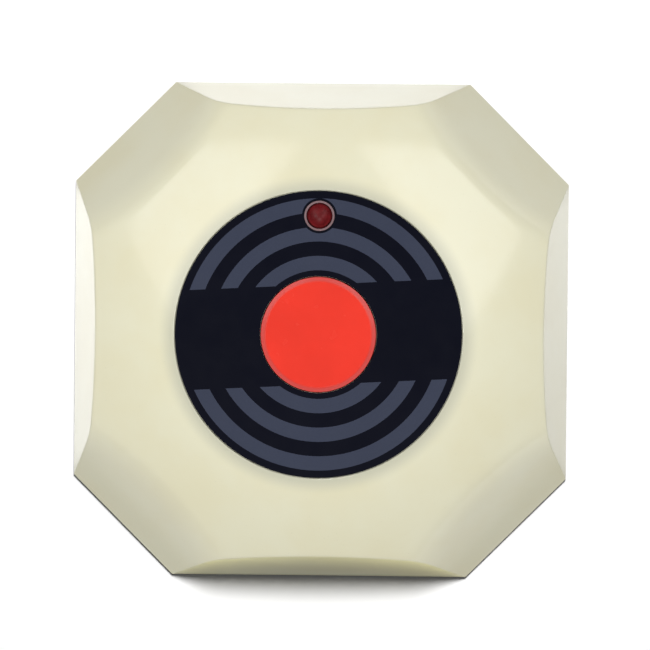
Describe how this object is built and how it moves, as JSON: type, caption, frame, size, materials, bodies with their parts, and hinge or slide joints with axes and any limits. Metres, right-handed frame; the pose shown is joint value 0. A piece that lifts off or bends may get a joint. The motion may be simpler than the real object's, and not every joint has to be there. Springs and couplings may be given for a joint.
{
  "type": "table call button",
  "caption": "Domed, corner-cut plastic call unit with one round push button, a red signal lamp on a printed round face, and a battery door in its base.",
  "frame": {"origin": "on the table under the middle of the housing, level with the undersides of the rubber feet", "axes": "+Z out of the front face, +Y towards the lamp's side, +X to the right as the face is read"},
  "size_m": [0.088, 0.088, 0.025],
  "materials": {
    "shell_ivory": "smooth, slightly translucent moulded plastic",
    "base_ivory": "fine spark texture",
    "label_black": "satin printed polycarbonate",
    "adhesive": "soft film",
    "print_grey": "screen print",
    "button_red": "satin with a polished bevel",
    "lamp_red": "clear dark red epoxy",
    "tinned_metal": "tinned",
    "bezel_clear": "polished, milky",
    "board_green": "lacquered board with copper tracks",
    "black_plastic": "fine grain",
    "steel_sheet": "pressed sheet",
    "copper_wire": "enamelled",
    "part_ceramic": "fired ceramic",
    "battery_jacket": "printed foil",
    "wire_red": "soft insulation",
    "wire_black": "soft insulation",
    "screw_steel": "zinc plated",
    "foot_rubber": "matt rubber"
  },
  "bodies": {
    "housing": {"top_shell": "shell_ivory", "base_plate": "base_ivory", "face_label": "label_black", "label_adhesive": "adhesive", "label_arcs": "print_grey", "lamp_lens": "lamp_red", "lamp_leads": "tinned_metal", "lamp_bezel": "bezel_clear", "circuit_board": "board_green", "switch_base": "black_plastic", "switch_cover": "steel_sheet", "snap_dome": "steel_sheet", "switch_pins": "tinned_metal", "encoder_chip": "black_plastic", "chip_legs": "tinned_metal", "saw_resonator": "steel_sheet", "antenna_coil": "copper_wire", "board_parts": "part_ceramic", "battery": "battery_jacket", "battery_terminals": "steel_sheet", "battery_spring": "steel_sheet", "positive_contact": "steel_sheet", "negative_contact": "steel_sheet", "positive_wire": "wire_red", "negative_wire": "wire_black", "case_screws": "screw_steel", "board_screws": "screw_steel", "rubber_feet": "foot_rubber"},
    "button": {"button_cap": "button_red", "switch_plunger": "black_plastic"},
    "battery_door": {"battery_door": "base_ivory"}
  },
  "joints": [
    {"name": "button_press", "type": "slide", "parent": "housing", "child": "button", "axis": [0, 0, -1], "range_m": [0, 0.0005], "stiffness_N_per_m": 1500, "deforming": ["snap_dome"]},
    {"name": "battery_door_hinge", "type": "hinge", "parent": "housing", "child": "battery_door", "pos_m": [0, -0.0162, 0.0017], "axis": [1, 0, 0], "range_deg": [0, 80]}
  ]
}
